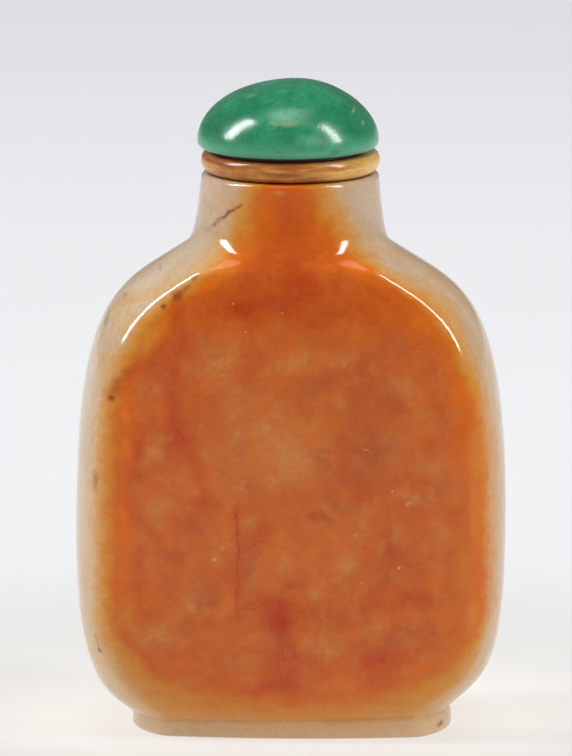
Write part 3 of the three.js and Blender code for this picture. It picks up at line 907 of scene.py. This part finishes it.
def footRows():
    line = footLine()
    inner, recess = line[0]
    arcs = bottle["footArcs"]
    rows = []
    for share in np.linspace(0.001, 0.97, 16):
        wide, deep = bottle["footHalfWidth"] - inner, bottle["footHalfDepth"] - inner
        rows.append(row(recess, wide * share, deep * share, [radius * share for radius in arcs]))
    for inset, z in line:
        wide, deep = bottle["footHalfWidth"] - inset, bottle["footHalfDepth"] - inset
        rows.append(row(z, wide, deep, arcs, 0, drift(z), smooth(z, 0.1, 1)))
    return rows


def outsideRows(front, side):
    rows = []
    for halfWidth, z in even(front, bottle["spacing"]):
        toBody = smooth(z, bottle["footHeight"], bottle["bodyArcsBy"])
        toShoulder = smooth(z, bottle["shoulderArcsFrom"], bottle["shoulderArcsBy"])
        low = [mixed(p, q, toBody) for p, q in zip(bottle["footArcs"], bottle["bodyArcs"])]
        arcs = [mixed(p, q, toShoulder) for p, q in zip(low, bottle["shoulderArcs"])]
        roundness = smooth(z, bottle["roundFrom"], bottle["roundBy"])
        rows.append(row(z, halfWidth, readOff(side, z), arcs, roundness, drift(z)))
    return rows


# The bore and one outline of the hollow below it.
def hollowLine(bore, bow):
    return np.concatenate([bore, curve(bore[-1], *bow[:3], 200)[1:], curve(*bow[2:], 200)[1:]])


# The lip, the mouth and the hollow, from the lip's edge in and down.
def insideRows(lipAt):
    shift, edge, mouth = drift(lipAt)[0], bottle["lipEdge"], bottle["mouthRadius"]
    flatFrom, mouthEdge = bottle["lipRadius"] - edge, bottle["mouthEdge"]
    line = corner((flatFrom, lipAt - edge), edge, 12, 90, 8)
    line += [(r, lipAt) for r in np.linspace(flatFrom, mouth + mouthEdge[0][0], 10)[1:]]
    line += [(mouth + out, lipAt - down) for out, down in mouthEdge[1:]]
    rows = [ringRow(r, z, shift, 0) for r, z in line]
    end, (bowHigh, bowLow) = bottle["boreEnd"], bottle["boreBow"]
    bore = curve((mouth, lipAt - mouthEdge[-1][1]), (mouth, bowHigh), (mouth, bowLow), (mouth, end), 40)
    wide, deep = hollowLine(bore, bottle["hollowWide"]), hollowLine(bore, bottle["hollowDeep"])
    lowFrom, lowBy = bottle["hollowRoundLow"]
    for halfWidth, z in even(wide, bottle["hollowSpacing"])[1:-1]:
        roundness = 1 - smooth(end - z, 0, bottle["hollowRoundTop"]) + smooth(lowFrom - z, 0, lowBy)
        slide = (shift * smooth(z, bottle["hollowStraightBelow"], end), 0, 0)
        rows.append(row(z, halfWidth, readOff(deep, z), bottle["hollowArcs"], min(roundness, 1), slide))
    (floorWide, floorAt), (floorDeep, _) = bottle["hollowWide"][-1], bottle["hollowDeep"][-1]
    for share in np.linspace(1, 0.001, 12):
        rows.append(row(floorAt, floorWide * share, floorDeep * share, roundArcs, 1.0))
    return rows


def bottleRows():
    halfWidth = bottleHigh.x / mm - bottle["clearance"] - drift(bottle["widestAt"])[0]
    halfDepth = bottleHigh.y / mm - bottle["clearance"]
    lipAt = bottleHigh.z / mm
    front = bottleOutline(
        bottle["frontBow"], bottle["footHalfWidth"], halfWidth, bottle["neckHalfWidth"], lipAt)
    side = bottleOutline(
        bottle["sideBow"], bottle["footHalfDepth"] + bottle["footSideStep"], halfDepth,
        bottle["neckHalfDepth"], lipAt)
    return footRows() + outsideRows(front, side) + insideRows(lipAt)


bottlePiece = loft("stoneBottle", bottleRows(), bottleStone, bottle["ripple"], 3)
print("bottle made")


collar = {
    "clearance": 0.01, "ripple": (0.02, 3.0), "rippleFades": (0.02, 0.3),
    "flatRadius": 6.8, "underBow": ((8.8, 0), (8.75, 0.2)),  # the underside's curve out to the waist
    "topInset": 0.6, "topDrop": 0.75, "waistAt": 1.05,
}


def collarRows():
    radius = collarHigh.x / mm - collar["clearance"]
    low, high = collarLow.z / mm, collarHigh.z / mm
    flat, waist = collar["flatRadius"], low + collar["waistAt"]
    inset, drop = collar["topInset"], collar["topDrop"]
    (nearR, nearUp), (farR, farUp) = collar["underBow"]
    under = curve((flat, low), (nearR, low + nearUp), (farR, low + farUp), (radius, waist), 60)
    over = curve((radius, waist), (radius, high - drop / 2), (radius - inset / 4, high),
                 (radius - inset, high), 60)
    line = [(r, low) for r in np.linspace(0, flat, 10)[:-1]]
    line += even(under, 0.15).tolist() + even(over, 0.12).tolist()[1:]
    line += [(r, high) for r in np.linspace(radius - inset, 0, 12)[1:]]
    start, end = collar["rippleFades"]
    return [
        ringRow(r, z, 0, smooth(abs(z - low), start, end) * smooth(high - z, start, end)) for r, z in line
    ]


collarPiece = loft("hornCollar", collarRows(), horn, collar["ripple"], 5)
print("collar made")


cap = {
    "clearance": 0.05, "topClearance": 0.04, "ripple": (0.08, 5.0), "rippleBy": 0.5,
    "seatRadius": 7.9, "seatHeight": 0.5, "seatFillet": 0.06,
    "rimRadius": 9.0, "rimEdge": 0.1, "rimInset": 0.12, "rimBow": (0.06, 0.2, 0.25),
    "widestAt": 1.25, "fullness": 1.92, "lean": 0.85, "leanPower": 7,
}


def capRows():
    low, high = capLow.z / mm, capHigh.z / mm
    radius = (capHigh.y - capLow.y) / 2 / mm - cap["clearance"]
    offset = (capHigh.x + capLow.x) / 2 / mm
    equator, rise = low + cap["widestAt"], high - cap["topClearance"] - low - cap["widestAt"]
    seat, under, fillet = cap["seatRadius"], low + cap["seatHeight"], cap["seatFillet"]
    edge, inset, (bowIn, bowUp, bowDown) = cap["rimEdge"], cap["rimInset"], cap["rimBow"]
    rim = cap["rimRadius"] - inset
    line = [(r, low) for r in np.linspace(0, seat, 12)]
    line += [(seat, z) for z in np.linspace(low, under - fillet, 4)[1:]]
    line += [(r, under) for r in np.linspace(seat + fillet, rim, 5)]
    line += corner((rim, under + edge), edge, -60, 0, 3)
    line += curve((rim + edge, under + edge), (radius - bowIn, under + bowUp), (radius, equator - bowDown),
                  (radius, equator), 6)[1:].tolist()
    power = 2 / cap["fullness"]
    for turn in np.radians(np.linspace(0, 90, 46))[1:]:
        line.append((radius * max(math.cos(turn), 0) ** power, equator + rise * math.sin(turn) ** power))
    rows = []
    for r, z in line:
        lean = cap["lean"] * max((z - equator) / rise, 0) ** cap["leanPower"]
        ripple = smooth(z, under, under + cap["rippleBy"]) * smooth(high - z, 0, cap["rippleBy"])
        rows.append(ringRow(r, z, offset + lean, ripple))
    return rows


capPiece = loft("greenCap", capRows(), greenStone, cap["ripple"], 8)
print("cap made")

for piece, node, slot in (
    (bottlePiece, "bottle", "mottled_stone"),
    (collarPiece, "collar", "amber_horn"),
    (capPiece, "cap", "green_stone"),
):
    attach(piece, "root")
    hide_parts(node)


floorFinish = {
    "halfSize": 6,  # metres
    "shader": {
        "Base Color": (0.24, 0.24, 0.24, 1), "Roughness": 0.7, "Specular IOR Level": 0.0,
        "Emission Strength": 1.0,
    },
    # its glow by the millimetres from the middle, and the share that is left by those in front
    "glow": (
        (0, (0.69, 0.65, 0.62, 1)), (25, (0.69, 0.66, 0.62, 1)), (40, (0.54, 0.54, 0.51, 1)),
        (60, (0.53, 0.54, 0.52, 1)), (90, (0.585, 0.59, 0.60, 1)), (150, (0.58, 0.59, 0.605, 1)),
        (300, (0.54, 0.55, 0.565, 1)), (560, (0.44, 0.435, 0.47, 1)), (2000, (0.3, 0.3, 0.32, 1)),
    ),
    "dimming": ((-300, 0.35), (-60, 0.7), (-16, 0.84), (0, 1)),
}


# The floor glows like a light table, palest where the piece stands and dimmer in front.
def makeFloorPaint():
    material, g, shader, place = newMaterial("floorPaint", floorFinish["shader"])
    glow = ramp(g, g.vector("LENGTH", place, out=1), floorFinish["glow"])
    _, ahead, _ = g.split(place)
    dimmer = follow(g, ahead, floorFinish["dimming"])
    g.feed(shader.inputs["Emission Color"], g.scaled(glow, dimmer))
    return material


reach = floorFinish["halfSize"]
floorMesh = bpy.data.meshes.new("floor")
floorMesh.from_pydata([(-reach, -reach, 0), (reach, -reach, 0), (reach, reach, 0), (-reach, reach, 0)],
                      [], [(0, 1, 2, 3)])
floor = newObject("floor", floorMesh)
floorMesh.materials.append(makeFloorPaint())

# The boxes light the piece and the gleams show on it as highlights, each without the other.
studio = {
    "aim": (0, 0, 0.035),
    "worldColour": (0.8, 0.8, 0.86, 1),
    "worldStrength": 0.26,
    # direction, metres away, width, height, watts, seen in highlights, lights surfaces
    "lights": {
        "leftBox": ((-0.777, -0.061, 0.60), 3.0, 0.46, 2.4, 60, False, True),
        "rightBox": ((0.77, -0.30, 0.55), 3.0, 0.32, 2.5, 47, False, True),
        "frontBox": ((0.0, -1.0, 0.5), 3.0, 4.0, 2.4, 31, False, True),
        "backBox": ((0.0, 1.0, 0.7), 3.0, 3.0, 2.0, 14, False, True),
        "topBox": ((0.0, -0.12, 1.0), 3.0, 1.8, 1.8, 25, True, True),
        "leftGleam": ((-0.777, -0.061, 0.60), 2.8, 0.6, 2.1, 110, True, False),
        "rightGleam": ((0.77, -0.30, 0.55), 2.8, 0.4, 2.2, 78, True, False),
    },
}


def aimed(thing, target):
    thing.rotation_euler = (target - thing.location).to_track_quat("-Z", "Y").to_euler()


def softbox(name, direction, distance, width, height, power, glossy, diffuse):
    data = bpy.data.lights.new(name, "AREA")
    data.shape, data.size, data.size_y = "RECTANGLE", width, height
    data.energy = power
    light = newObject(name, data)
    target = Vector(studio["aim"])
    light.location = target + Vector(direction).normalized() * distance
    aimed(light, target)
    light.visible_glossy, light.visible_diffuse = glossy, diffuse


for name, settings in studio["lights"].items():
    softbox(name, *settings)

world = bpy.data.worlds.new("studio")
bpy.context.scene.world = world
world.use_nodes = True
world.node_tree.nodes["Background"].inputs["Color"].default_value = studio["worldColour"]
world.node_tree.nodes["Background"].inputs["Strength"].default_value = studio["worldStrength"]

# degrees, and metres from where it looks
view = {"elevation": 10.4, "distance": 0.9, "aim": (-0.46 * mm, 0, 36.18 * mm), "sensor": 36, "lens": 417.3}

lens = bpy.data.cameras.new("camera")
camera = newObject("camera", lens)
elevation, target = math.radians(view["elevation"]), Vector(view["aim"])
camera.location = target + view["distance"] * Vector((0, -math.cos(elevation), math.sin(elevation)))
aimed(camera, target)
lens.sensor_width, lens.lens = view["sensor"], view["lens"]
bpy.context.scene.camera = camera
bpy.context.scene.view_settings.view_transform = "Standard"
print("stage set")
